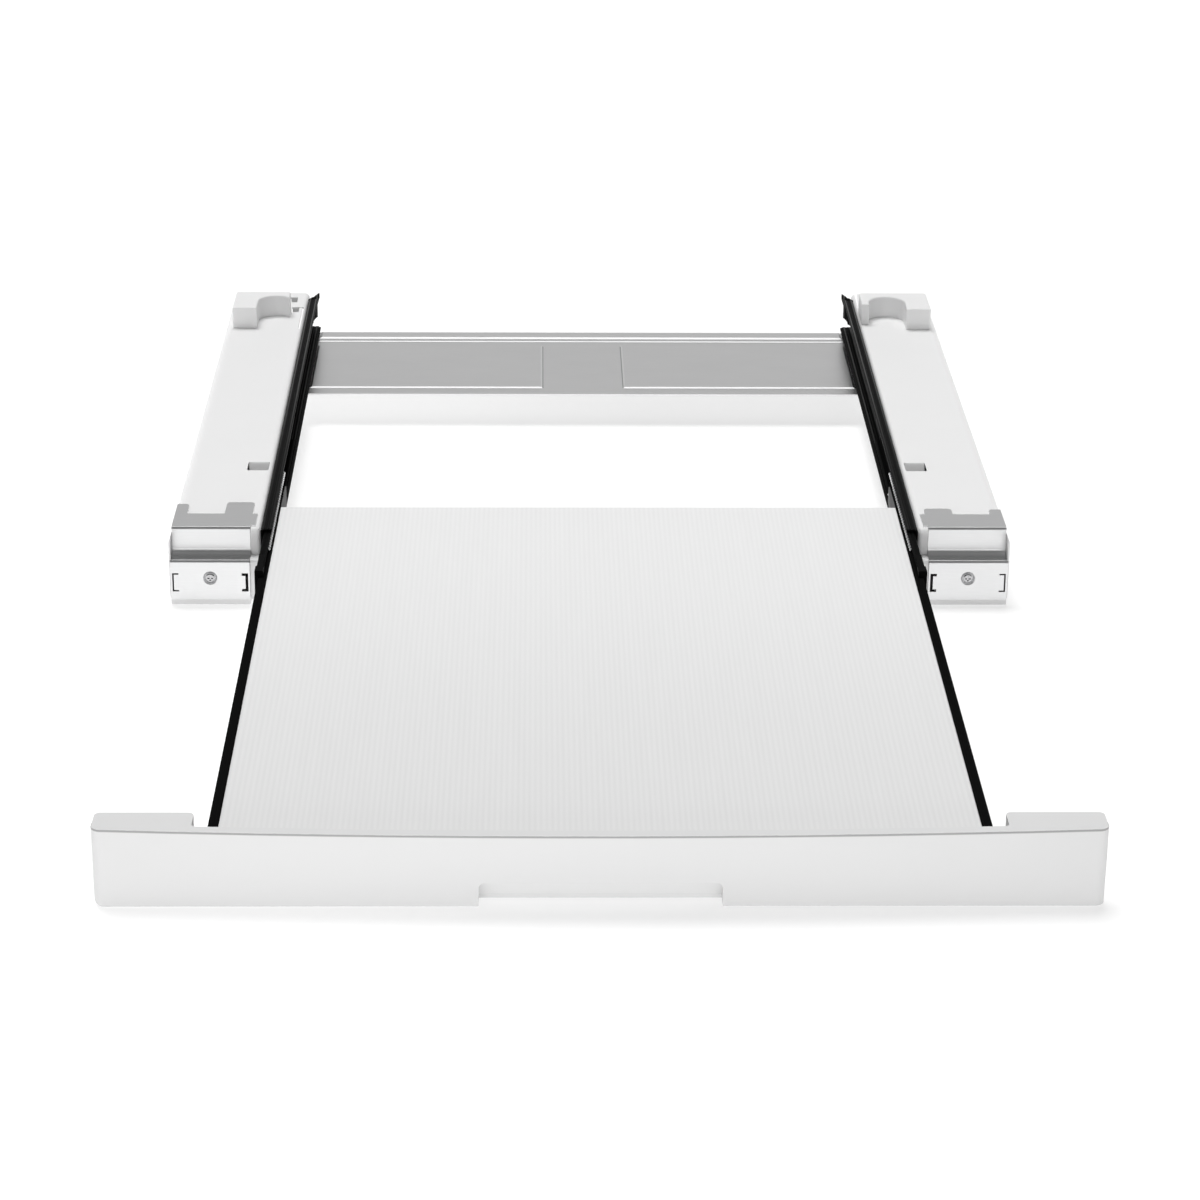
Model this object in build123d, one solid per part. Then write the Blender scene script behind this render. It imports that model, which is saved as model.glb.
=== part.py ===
from build123d import *
import math
import os

# A stacking kit that stands on one laundry machine and carries another, with a shelf that
# pulls out between them. Millimetres, +Z up, the shelf pulls out towards -Y. The origin is
# on the ground, under the middle of the whole thing with its shelf pulled right out.
# Every piece is drawn at that pulled-out place.

# Overall sizes
overall_width = 600.0
rail_length = 578.0
rail_height = 54.0
rail_width = 65.0
pull_out = 458.0

# Side rails: painted sheet channels, open below, on a soft strip
rail_sheet = 1.2
rail_outer_radius = 8.0
rail_inner_radius = 4.0
rail_foot_radius = 2.2
rail_lip_width = 16.0
rail_flange_height = 27.0
rail_flange_margin = 7.0
return_depth = 7.0
return_radius = 3.0
strip_height = 4.2
strip_side_margin = 0.7
strip_chamfer = 0.6

# Rectangular window in each rail's top
window_width = 16.0
window_length = 18.0
window_from_inner_wall = 3.2
window_from_front = 132.5
window_radius = 1.8

# Flaps bent down at the rear edges of the windows and the catch's slots
window_flap_height = 6.0
window_flap_slope = 50.0
catch_flap_height = 5.0
catch_flap_slope = 66.0
flap_side_margin = 0.4

# Lanced catch at the rear of the left rail: two slots and a thin slit
catch_slot_width = 6.3
catch_slot_length = 14.0
catch_rear_slot_from_wall = 9.0
catch_front_slot_from_wall = 6.0
catch_slot_spacing = 28.0
catch_slot_from_rear = 20.0
catch_slit_width = 1.1
catch_slit_length = 60.0
catch_slit_from_wall = 2.4

# Tapered relief at the rear of the right rail
relief_length = 58.0
relief_width = 2.4
relief_from_wall = 2.6

# Front brackets: folded zinc sheet with a ledge that the shelf's panel closes over
bracket_sheet = 1.0
bracket_foot_gap = 0.1
ledge_depth = 12.5
ledge_height = 34.3
bracket_bend_radius = 2.2
bracket_cove_radius = 4.5
bracket_inner_margin = 7.6
bracket_outer_margin = 0.7
cheek_clearance = 0.2
bracket_top_depth = 27.0
bracket_ear_start = 4.0
outer_tab_width = 8.8
inner_tab_width = 20.1
inner_tab_from_wall = 7.7
left_outer_tab_length = 19.5
left_inner_tab_length = 23.0
right_outer_tab_length = 10.0
right_inner_tab_length = 11.5
tab_radius = 3.5

# Square-bracket slots in each front bracket's face
slot_height = 14.0
slot_centre_height = 17.4
inner_slot_width = 2.0
outer_slot_width = 1.1
slot_hook = 4.6
slot_from_edge = 1.3

# Screw in each front bracket, in a pressed dimple
bracket_screw_height = 20.7
bracket_screw_radius = 2.0
bracket_screw_length = 14.0
bracket_screw_head_radius = 3.7
bracket_screw_head_height = 1.7
dimple_radius = 5.1
dimple_floor_radius = 3.9
dimple_depth = 1.5
screw_clearance = 0.1
cross_slot_width = 1.2
cross_slot_depth = 1.1
cross_slot_share = 1.1
crown_share = 0.85

# Rear blocks: moulded seats for the upper machine's rear feet
block_height = 17.6
block_depth = 46.0
block_outer_margin = 6.7
block_inner_margin = 1.4
left_block_inner_margin = 12.4
block_from_rear = 53.0
block_lobe_setback = 13.5
block_radius = 1.2
block_corner_radius = 1.9
pocket_radius = 15.3
pocket_from_wall = 22.8
pocket_from_block_front = 19.5
block_screw_radius = 2.0
block_screw_length = 12.0
block_screw_head_radius = 3.8
block_screw_head_height = 2.2
block_screw_from_side = 9.0

# Crossbar: wide zinc sheet under the slides, bent down at its ends
crossbar_depth = 163.0
crossbar_from_rear = 21.0
crossbar_height = 25.0
crossbar_sheet = 1.2
crossbar_bend_radius = 2.4
crossbar_tab_height = 17.0
crossbar_rear_rib_width = 17.5
crossbar_rib_height = 1.0
crossbar_bead_width = 3.0
crossbar_bead_height = 0.5
crossbar_bead_gap = 5.2
emboss_height = 0.8
pad_taper = 65.0
emboss_front_margin = 14.5
emboss_rear_margin = 38.0
emboss_centre_half = 33.0
emboss_end_gap = 10.0
crossbar_screw_radius = 2.4
crossbar_screw_length = 8.0
crossbar_screw_head_radius = 4.4
crossbar_screw_head_height = 2.4
crossbar_screw_height = 15.0
crossbar_screw_margin = 28.0

# Ball slides: three nested channels on each side, with two ball cages between them
slide_height = 26.5
slide_width = 10.0
slide_sheet = 1.0
slide_bend_radius = 1.6
slide_front_setback = 12.0
ball_radius = 1.2
race_gap = 2.0
race_clearance = 0.05
outer_lip_width = 8.0
outer_bend_radius = 2.2
outer_groove_line = 4.2
outer_groove_radius = 1.6
outer_groove_depth = 0.5
outer_lip_rounding = 0.8
lower_edge_width = 2.9
lower_edge_drop = 1.0
web_gap = 1.0
middle_lip_width = 5.5
inner_width = 6.0
outer_tail = 18.0
foot_tail = 14.0
tongue_height = 19.8
tongue_bend_length = 13.0
tongue_offset = 6.0
tongue_hook_length = 5.0
tongue_hook_offset = 1.6
tongue_hook_height = 3.0
tongue_hook_slope = 6.0
tongue_end_gap = 0.5
tongue_root = 1.0
notch_radius = 3.5
notch_from_wall = 7.0
middle_length = 320.0
middle_front = 56.0
inner_tail = 18.5
cage_sheet = 1.0
cage_web = 0.4
cage_pocket_clearance = 0.12
outer_cage_start = 86.0
outer_cage_length = 140.0
outer_ball_pitch = 8.0
outer_ball_line = 4.9
outer_cage_width = 4.9
inner_cage_start = -19.7
inner_cage_length = 164.0
inner_ball_pitch = 5.0
inner_ball_line = 7.7
inner_cage_width = 4.6

# Bumper on the front end of each middle channel
bumper_block_length = 10.0
bumper_rib_length = 22.0
bumper_rib_thickness = 1.3
bumper_running_gap = 0.4
bumper_radius = 0.8

# Stop on the rear end of each inner channel
end_stop_gap = 0.5
end_stop_thickness = 3.4
end_stop_tip_thickness = 0.9
end_stop_length = 44.0
end_stop_height = 12.0
end_stop_peg_radius = 2.0

# Rivets that hold the outer channels to the rails
rivet_radius = 2.0
rivet_head_radius = 2.9
rivet_formed_radius = 3.4
rivet_formed_height = 1.4
rivet_places = (38.0, 290.0, 535.0)

# Shelf board
board_thickness = 12.5
board_gap = 1.7
board_length = 537.5
board_top_above_slide_centre = 6.5
board_edge_radius = 0.8

# Screws through the inner channels into the board's edges
shelf_screw_radius = 1.8
shelf_screw_length = 16.0
shelf_screw_head_radius = 3.4
shelf_screw_head_height = 1.8
shelf_screw_places = (-425.0, -195.0, 35.0)

# Front panel: a hollow moulding, bowed along its top, with an ear at each end
panel_side_inset = 1.2
panel_height = 51.6
panel_ground_gap = 1.0
panel_wall = 2.8
panel_bow = 9.5
panel_top_depth = 7.3
panel_corner_radius = 6.5
panel_lower_radius = 4.8
panel_top_radius = 1.1
ear_depth = 22.5
ear_width = 59.0
ear_clearance = 0.5
ear_ledge_clearance = 0.9
ear_step_depth = 9.3
grip_width = 144.0
grip_height = 18.2
grip_depth = 11.0
grip_foot = 3.4
grip_backing_rise = 6.0
grip_side_radius = 5.0
ear_corner_radius = 3.5
ear_root_radius = 2.5
panel_boss_width = 60.0
panel_boss_height = 36.0
panel_boss_place = 150.0
panel_boss_foot = 4.0

# Angles that join the panel to the board
angle_sheet = 1.5
angle_leg = 36.0
angle_width = 50.0
angle_bend_radius = 2.5
angle_screw_radius = 1.9
angle_screw_head_radius = 3.6
angle_screw_head_height = 2.0
panel_screw_length = 6.5
board_screw_length = 10.0
angle_screw_spacing = 30.0
panel_screw_height = 20.0
board_screw_setback = 24.0

# Derived places. A distance called back is measured from the plane of the rails' front.
half_width = overall_width / 2
wall_x = half_width - rail_width
panel_proud = ear_depth + ear_clearance - ledge_depth
overall_length = panel_bow + pull_out + panel_proud + rail_length
front_y = overall_length / 2 - rail_length
panel_back = -(pull_out + panel_proud)
shelf_back = panel_back + panel_wall + board_gap
board_rear = shelf_back + board_length
inner_rear = board_rear + inner_tail
bracket_top = rail_height + bracket_sheet
slide_z = rail_height - slide_height / 2
outer_race = slide_height / 2 - slide_sheet
middle_top = outer_race - race_gap
middle_race = middle_top - slide_sheet
inner_top = middle_race - race_gap
outer_ball_z = (outer_race + middle_top) / 2
inner_ball_z = (middle_race + inner_top) / 2
middle_web_out = slide_sheet + web_gap
inner_lip_out = slide_width - inner_width
board_half = wall_x - slide_width
board_top = slide_z + board_top_above_slide_centre
board_bottom = board_top - board_thickness
flange_back = dimple_depth + bracket_sheet
outer_rear = rail_length - outer_tail
foot_rear = rail_length - foot_tail


def y_at(back):
    """Y of a point this far behind the plane of the rails' front."""
    return front_y + back


def block(x0, x1, back0, back1, z0, z1):
    """Box between two corners, its depth given as distances back."""
    size = (x1 - x0, back1 - back0, z1 - z0)
    centre = ((x0 + x1) / 2, y_at((back0 + back1) / 2), (z0 + z1) / 2)
    return Pos(*centre) * Box(*size)


def sheet_along_y(points, radii, thickness, side, back0, back1):
    """Sheet bent along points in X and Z, carried from one distance back to another."""
    line = FilletPolyline(*points, radius=radii)
    face = make_face(offset(line, amount=thickness, side=side))
    plane = Plane(origin=(0, y_at(back1), 0), x_dir=(1, 0, 0), z_dir=(0, -1, 0))
    return extrude(plane * face, amount=back1 - back0)


def sheet_along_x(points, radii, thickness, side, x0, x1):
    """Sheet bent along points given as distance back and Z, carried from x0 to x1."""
    line = FilletPolyline(*points, radius=radii)
    face = make_face(offset(line, amount=thickness, side=side))
    plane = Plane(origin=(x0, front_y, 0), x_dir=(0, 1, 0), z_dir=(1, 0, 0))
    return extrude(plane * face, amount=x1 - x0)


def rod(start, direction, radius, length):
    """Cylinder that starts at a point and runs along a direction."""
    plane = Plane(origin=start, z_dir=direction)
    return extrude(plane * Circle(radius), amount=length)


def screw(start, direction, radius, length, head_radius, head_height):
    """Pan-head screw whose head sits on the start point, its shank along the direction."""
    back = Vector(*direction) * -1
    body = rod(start, direction, radius, length)
    body += rod(start, back, head_radius, head_height)
    rim = body.edges().filter_by(GeomType.CIRCLE).sort_by(SortBy.RADIUS)[-2:]
    far = max(rim, key=lambda edge: (edge.center() - Vector(*start)).length)
    body = fillet(far, head_height * crown_share)
    crown = Vector(*start) + back * head_height
    slot_plane = Plane(origin=crown, z_dir=direction)
    span = head_radius * cross_slot_share
    cross = Rectangle(span, cross_slot_width) + Rectangle(cross_slot_width, span)
    return body - extrude(slot_plane * cross, amount=cross_slot_depth)


def mirrored(piece):
    """The same piece on the other side of the kit."""
    return mirror(piece, about=Plane.YZ)


def rounded_plate(width, length, radius, places):
    """Flat outline with chosen rounded corners: places picks them by their signs."""
    outline = Rectangle(width, length)
    picked = [
        vertex
        for vertex in outline.vertices()
        if (math.copysign(1, vertex.X), math.copysign(1, vertex.Y)) in places
    ]
    return fillet(picked, radius)


def rail():
    """Right rail: a channel open below, with a flange behind the front bracket."""
    low = strip_height
    points = (
        (wall_x + rail_lip_width, low),
        (wall_x, low),
        (wall_x, rail_height),
        (half_width, rail_height),
        (half_width, low),
        (half_width - rail_lip_width, low),
    )
    radii = [rail_foot_radius, rail_inner_radius, rail_outer_radius, rail_foot_radius]
    body = sheet_along_y(points, radii, rail_sheet, Side.RIGHT, bracket_sheet, rail_length)
    inner_edge = wall_x + rail_inner_radius
    outer_edge = half_width - rail_sheet
    under_ledge = ledge_height - bracket_sheet - cheek_clearance
    plate_front = ledge_depth + bracket_bend_radius
    body -= block(inner_edge, outer_edge, -1, plate_front, under_ledge, rail_height + 1)
    corner_rear = ledge_depth + 2 * rail_sheet
    body -= block(wall_x - 1, inner_edge + 1, -1, corner_rear, under_ledge, rail_height + 1)
    body += front_return()
    inner_face, outer_face = bracket_face_x()
    body += block(
        inner_face + rail_flange_margin,
        outer_face - rail_flange_margin,
        flange_back,
        flange_back + rail_sheet,
        low,
        low + rail_flange_height,
    )
    body -= rod(
        (screw_x(), y_at(0), bracket_screw_height),
        (0, 1, 0),
        bracket_screw_radius + screw_clearance,
        flange_back + 2 * rail_sheet,
    )
    window = rounded_plate(
        window_width, window_length, window_radius, ((1, 1), (1, -1), (-1, 1), (-1, -1))
    )
    window_x = wall_x + window_from_inner_wall + window_width / 2
    window_y = y_at(window_from_front + window_length / 2)
    window_plane = Plane(origin=(window_x, window_y, rail_height + 1))
    body -= extrude(window_plane * window, amount=-rail_sheet - 2)
    window_half = window_width / 2
    body += flap(
        window_x - window_half,
        window_x + window_half,
        window_from_front + window_length,
        window_flap_height,
        window_flap_slope,
    )
    for back in rivet_places:
        body -= rod(
            (wall_x - 1, y_at(back), slide_z), (1, 0, 0), rivet_radius + screw_clearance, 4
        )
    for back in crossbar_screw_places():
        body -= rod(
            (wall_x - 1, y_at(back), crossbar_screw_height),
            (1, 0, 0),
            crossbar_screw_radius + screw_clearance,
            4,
        )
    for x in block_screw_places():
        body -= rod(
            (x, y_at(block_screw_back()), rail_height - 3),
            (0, 0, 1),
            block_screw_radius + screw_clearance,
            4,
        )
    return body


def front_return():
    """Front of the right rail beside its bracket: stepped like it, with a rounded corner."""
    end_x = bracket_face_x()[0] - cheek_clearance
    rear = ledge_depth + return_depth
    upper = block(wall_x, end_x, ledge_depth, rear, ledge_height - rail_sheet, rail_height)
    bend = upper.edges().filter_by(Axis.Y).group_by(Axis.Z)[-1].sort_by(Axis.X)[0]
    upper = fillet(bend, rail_inner_radius)
    front = upper.faces().sort_by(Axis.Y)[0]
    rims = [
        edge
        for edge in front.edges()
        if edge.center().X < end_x - 0.1 and edge.center().Z > ledge_height
    ]
    upper = fillet(rims, return_radius)
    upper -= block(
        wall_x + rail_sheet,
        end_x + 1,
        ledge_depth + rail_sheet,
        rear + 1,
        ledge_height - 2 * rail_sheet,
        rail_height - rail_sheet,
    )
    lower = block(wall_x, end_x, bracket_sheet, ledge_depth + 1, strip_height, ledge_height)
    nose = lower.edges().filter_by(Axis.X).group_by(Axis.Z)[-1].sort_by(Axis.Y)[0]
    lower = fillet(nose, bracket_bend_radius)
    lower -= block(
        wall_x + rail_sheet,
        end_x + 1,
        bracket_sheet + rail_sheet,
        ledge_depth + 2,
        strip_height - 1,
        ledge_height - rail_sheet,
    )
    return upper + lower


def flap(x0, x1, back, height, slope):
    """Flap of the rail's top plate, bent down and forward at the rear edge of an opening."""
    turn = math.radians(slope)
    reach = height / math.tan(turn)
    under = (rail_sheet * math.sin(turn), -rail_sheet * math.cos(turn))
    root = (back, rail_height)
    tip = (back - reach, rail_height - height)
    points = [root, tip, (tip[0] + under[0], tip[1] + under[1])]
    points.append((root[0] + under[0], root[1] + under[1]))
    plane = Plane(origin=(x0 + flap_side_margin, y_at(0), 0), x_dir=(0, 1, 0), z_dir=(1, 0, 0))
    outline = make_face(Polyline(*points, close=True))
    return extrude(plane * outline, amount=x1 - x0 - 2 * flap_side_margin)


def through_top(x0, x1, back0, back1):
    """Box that cuts through a rail's top plate."""
    return block(x0, x1, back0, back1, rail_height - 2 * rail_sheet, rail_height + 1)


def catch_slots():
    """Inner side and rear edge of the catch's two slots, the rear one first."""
    rear_edge = rail_length - catch_slot_from_rear + catch_slot_length / 2
    return (
        (wall_x + catch_rear_slot_from_wall, rear_edge),
        (wall_x + catch_front_slot_from_wall, rear_edge - catch_slot_spacing),
    )


def with_catch(body):
    """The rail with the lanced catch's slots, flaps and slit, before it is mirrored."""
    for x, rear_edge in catch_slots():
        body -= through_top(x, x + catch_slot_width, rear_edge - catch_slot_length, rear_edge)
        body += flap(
            x, x + catch_slot_width, rear_edge, catch_flap_height, catch_flap_slope
        )
    front_x, slit_rear = catch_slots()[-1]
    slit_x = wall_x + catch_slit_from_wall
    body -= through_top(slit_x, front_x + 1, slit_rear - catch_slit_width, slit_rear)
    body -= through_top(
        slit_x, slit_x + catch_slit_width, slit_rear - catch_slit_length, slit_rear
    )
    return body


def relief_cut():
    """Tapered relief in the right rail's top plate, widest at the rear end."""
    x = wall_x + relief_from_wall
    outline = Polyline(
        (x, y_at(rail_length - relief_length)),
        (x, y_at(rail_length + 1)),
        (x + relief_width, y_at(rail_length + 1)),
        close=True,
    )
    low = Pos(0, 0, rail_height - 2 * rail_sheet)
    return extrude(low * make_face(outline), amount=2 * rail_sheet + 1)


def base_strip():
    """Right rail's soft strip."""
    body = block(
        wall_x + bracket_inner_margin,
        half_width - strip_side_margin,
        0.2,
        rail_length,
        0,
        strip_height,
    )
    return chamfer(body.edges().group_by(Axis.Z)[0], strip_chamfer)


def screw_x():
    """X of the screw in the right front bracket: the middle of its face."""
    return (wall_x + bracket_inner_margin + half_width - bracket_outer_margin) / 2


def bracket_face_x():
    """Inner and outer side of the right bracket's lower face."""
    return wall_x + bracket_inner_margin, half_width - bracket_outer_margin


def bracket_slot(edge_x, towards, slot_width):
    """One square-bracket slot near a side of the face, its hooks turned inwards."""
    near = edge_x + towards * slot_from_edge
    far = near + towards * slot_hook
    stem = near + towards * slot_width
    low = slot_centre_height - slot_height / 2
    high = slot_centre_height + slot_height / 2
    depth = bracket_sheet + 1
    cut = block(min(near, stem), max(near, stem), -1, depth, low, high)
    for z0 in (low, high - slot_width):
        cut += block(min(near, far), max(near, far), -1, depth, z0, z0 + slot_width)
    return cut


def front_bracket(outer_tab_length, inner_tab_length):
    """Right front bracket: face, ledge, upper face and top plate with two tabs."""
    inner_x, outer_x = bracket_face_x()
    cheek_x = half_width - rail_sheet - cheek_clearance
    top_rear = ledge_depth + bracket_top_depth
    points = (
        (0, strip_height + bracket_foot_gap),
        (0, ledge_height),
        (ledge_depth, ledge_height),
        (ledge_depth, bracket_top),
        (top_rear, bracket_top),
    )
    radii = [bracket_bend_radius, bracket_cove_radius, bracket_bend_radius]
    body = sheet_along_x(points, radii, bracket_sheet, Side.RIGHT, inner_x, outer_x)
    body -= block(cheek_x, outer_x + 1, bracket_sheet, top_rear + 1, 0, bracket_top + 1)

    plate_plane = Plane(origin=(0, 0, rail_height))
    tabs = (
        (cheek_x - outer_tab_width, cheek_x, outer_tab_length, ((-1, 1),)),
        (
            wall_x + inner_tab_from_wall,
            wall_x + inner_tab_from_wall + inner_tab_width,
            inner_tab_length,
            ((1, 1), (-1, 1)),
        ),
    )
    for x0, x1, length, corners in tabs:
        overlap = 2.0
        outline = rounded_plate(x1 - x0, length + overlap, tab_radius, corners)
        centre_y = y_at(top_rear + (length - overlap) / 2)
        body += extrude(plate_plane * Pos((x0 + x1) / 2, centre_y) * outline, bracket_sheet)
    body += block(
        wall_x + rail_inner_radius,
        inner_x + 1,
        ledge_depth + bracket_ear_start,
        top_rear,
        rail_height,
        bracket_top,
    )

    centre = (screw_x(), y_at(0), bracket_screw_height)
    face = Plane(origin=centre, z_dir=(0, 1, 0))
    mouth = face * Circle(dimple_radius)
    floor = face.offset(dimple_depth) * Circle(dimple_floor_radius)
    body += rod(centre, (0, 1, 0), dimple_radius + bracket_sheet, flange_back)
    body -= loft([mouth, floor])
    body -= rod(centre, (0, 1, 0), bracket_screw_radius + screw_clearance, flange_back)
    body -= bracket_slot(inner_x, 1, inner_slot_width)
    body -= bracket_slot(outer_x, -1, outer_slot_width)
    return body


def bracket_screws():
    """Screws that hold the two front brackets to the rails' flanges."""
    one = screw(
        (screw_x(), y_at(dimple_depth), bracket_screw_height),
        (0, 1, 0),
        bracket_screw_radius,
        bracket_screw_length,
        bracket_screw_head_radius,
        bracket_screw_head_height,
    )
    return [one, mirrored(one)]


def block_front():
    """How far back the rear blocks' front face is."""
    return rail_length - block_from_rear - block_depth


def block_screw_back():
    """How far back the screws under the rear blocks are."""
    return block_front() + block_depth - block_screw_from_side


def block_screw_places():
    """X of the two screws under the right block, either side of its pocket."""
    outer = half_width - block_outer_margin - block_screw_from_side
    inner = wall_x + left_block_inner_margin + block_screw_from_side
    return inner, outer


def rear_block(inner_margin):
    """Right rear block: a seat with a round pocket that is open to the front."""
    inner_x = wall_x + inner_margin
    outer_x = half_width - block_outer_margin
    front = block_front()
    top = rail_height + block_height
    body = block(inner_x, outer_x, front, front + block_depth, rail_height, top)
    body = fillet(body.edges().filter_by(Axis.Z), block_corner_radius)
    pocket_x = wall_x + pocket_from_wall
    pocket_back = front + pocket_from_block_front
    tall = block_height + 2
    plane = Plane(origin=(pocket_x, y_at(pocket_back), rail_height - 1))
    cut = extrude(plane * Circle(pocket_radius), tall)
    cut += block(
        pocket_x - pocket_radius,
        pocket_x + pocket_radius,
        front - 1,
        pocket_back,
        rail_height - 1,
        top + 1,
    )
    cut += block(
        wall_x - 1,
        pocket_x,
        front - 1,
        front + block_lobe_setback,
        rail_height - 1,
        top + 1,
    )
    body -= cut
    body = fillet(body.faces().sort_by(Axis.Z)[-1].edges(), block_radius)
    for x in block_screw_places():
        body -= rod(
            (x, y_at(block_screw_back()), rail_height),
            (0, 0, 1),
            block_screw_radius + screw_clearance,
            block_screw_length - rail_sheet,
        )
    return body


def block_screws():
    """Screws that hold the rear blocks from inside the rails."""
    screws = []
    for x in block_screw_places():
        one = screw(
            (x, y_at(block_screw_back()), rail_height - rail_sheet),
            (0, 0, 1),
            block_screw_radius,
            block_screw_length - 1,
            block_screw_head_radius,
            block_screw_head_height,
        )
        screws += [one, mirrored(one)]
    return screws


def crossbar_span():
    """How far back the crossbar starts and ends."""
    rear = rail_length - crossbar_from_rear
    return rear - crossbar_depth, rear


def crossbar_screw_places():
    """How far back the crossbar's screws are."""
    front, rear = crossbar_span()
    return front + crossbar_screw_margin, rear - crossbar_screw_margin


def raised_pad(x0, x1, back0, back1, height):
    """Pressed-up area of the crossbar, with sloping sides."""
    width = x1 - x0
    depth = back1 - back0
    centre = Pos((x0 + x1) / 2, y_at((back0 + back1) / 2), crossbar_height)
    pad = extrude(centre * Rectangle(width, depth), amount=height, taper=pad_taper)
    return pad


def crossbar():
    """Sheet that ties the rails together at the rear, under the slides."""
    front, rear = crossbar_span()
    low = crossbar_height - crossbar_tab_height
    points = (
        (-wall_x, low),
        (-wall_x, crossbar_height),
        (wall_x, crossbar_height),
        (wall_x, low),
    )
    body = sheet_along_y(points, crossbar_bend_radius, crossbar_sheet, Side.RIGHT, front, rear)
    pad_front = front + emboss_front_margin
    pad_rear = rear - emboss_rear_margin
    pad_end = wall_x - emboss_end_gap
    for x0, x1 in ((-pad_end, -emboss_centre_half), (emboss_centre_half, pad_end)):
        body += raised_pad(x0, x1, pad_front, pad_rear, emboss_height)
    rib_front = rear - crossbar_rear_rib_width
    body += raised_pad(-pad_end, pad_end, rib_front, rear, crossbar_rib_height)
    bead_rear = rib_front - crossbar_bead_gap
    bead_front = bead_rear - crossbar_bead_width
    body += raised_pad(-pad_end, pad_end, bead_front, bead_rear, crossbar_bead_height)
    hollow = Pos(0, 0, -crossbar_sheet)
    for x0, x1 in ((-pad_end, -emboss_centre_half), (emboss_centre_half, pad_end)):
        body -= hollow * raised_pad(x0, x1, pad_front, pad_rear, emboss_height)
    body -= hollow * raised_pad(-pad_end, pad_end, rib_front, rear, crossbar_rib_height)
    for back in crossbar_screw_places():
        for side in (-1, 1):
            body -= rod(
                (side * (wall_x - 4), y_at(back), crossbar_screw_height),
                (side, 0, 0),
                crossbar_screw_radius + screw_clearance,
                5,
            )
    return body


def crossbar_screws():
    """Screws through the crossbar's bent ends into the rails."""
    screws = []
    for back in crossbar_screw_places():
        one = screw(
            (wall_x - crossbar_sheet, y_at(back), crossbar_screw_height),
            (1, 0, 0),
            crossbar_screw_radius,
            crossbar_screw_length,
            crossbar_screw_head_radius,
            crossbar_screw_head_height,
        )
        screws += [one, mirrored(one)]
    return screws


def channel(out, width, half_height, back0, back1, opening, radius=slide_bend_radius):
    """Slide channel: out is its outboard side, opening 1 opens inboard and -1 outboard."""
    web_x = wall_x - out if opening > 0 else wall_x - out - width
    tip_x = wall_x - out - width if opening > 0 else wall_x - out
    high = slide_z + half_height
    low = slide_z - half_height
    points = ((tip_x, high), (web_x, high), (web_x, low), (tip_x, low))
    side = Side.RIGHT if opening > 0 else Side.LEFT
    return sheet_along_y(points, radius, slide_sheet, side, back0, back1)


def race(ball_line, ball_offset, back0, back1):
    """Ball tracks above and below the slide's middle, as cutting rods."""
    cut = None
    for side in (-1, 1):
        start = (wall_x - ball_line, y_at(back0) - 1, slide_z + side * ball_offset)
        one = rod(start, (0, 1, 0), ball_radius + race_clearance, back1 - back0 + 2)
        cut = one if cut is None else cut + one
    return cut


def slide_outer():
    """Right outer channel with its rear tongue, fixed to the rail's inner wall."""
    front = slide_front_setback
    half = slide_height / 2
    body = channel(0, outer_lip_width, half, front, foot_rear, 1, outer_bend_radius)
    tip = body.edges().filter_by(Axis.Y).group_by(Axis.Z)[-1].sort_by(Axis.X)[0]
    body = fillet(tip, outer_lip_rounding)
    body += lower_edge(front, foot_rear)
    low = slide_z - half + slide_sheet
    body -= block(
        wall_x - 2 * slide_width, wall_x - slide_sheet, outer_rear, rail_length, low, rail_height + 1
    )
    body -= block(
        wall_x - 2, wall_x + 1, outer_rear, rail_length, tongue_foot() - notch_radius, rail_height + 1
    )
    body += tongue()
    body -= race(outer_ball_line, outer_ball_z, front, foot_rear)
    groove_z = half + outer_groove_radius - outer_groove_depth
    for side in (-1, 1):
        start = (wall_x - outer_groove_line, y_at(front) - 1, slide_z + side * groove_z)
        body -= rod(start, (0, 1, 0), outer_groove_radius, rail_length)
    for back in rivet_places:
        body -= countersink(back)
    return body


def lower_edge(back0, back1):
    """Sloping edge of the outer channel's lower lip."""
    low = slide_z - slide_height / 2
    root_x = wall_x - outer_lip_width + 1
    edge_x = root_x - lower_edge_width
    outline = Polyline(
        (root_x, low),
        (root_x, low + slide_sheet),
        (edge_x, low + slide_sheet - lower_edge_drop),
        (edge_x, low - lower_edge_drop),
        close=True,
    )
    plane = Plane(origin=(0, y_at(back1), 0), x_dir=(1, 0, 0), z_dir=(0, -1, 0))
    return extrude(plane * make_face(outline), amount=back1 - back0)


def tongue_foot():
    """Height of the tongue's lower edge at its free end."""
    return rail_height - tongue_height


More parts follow.
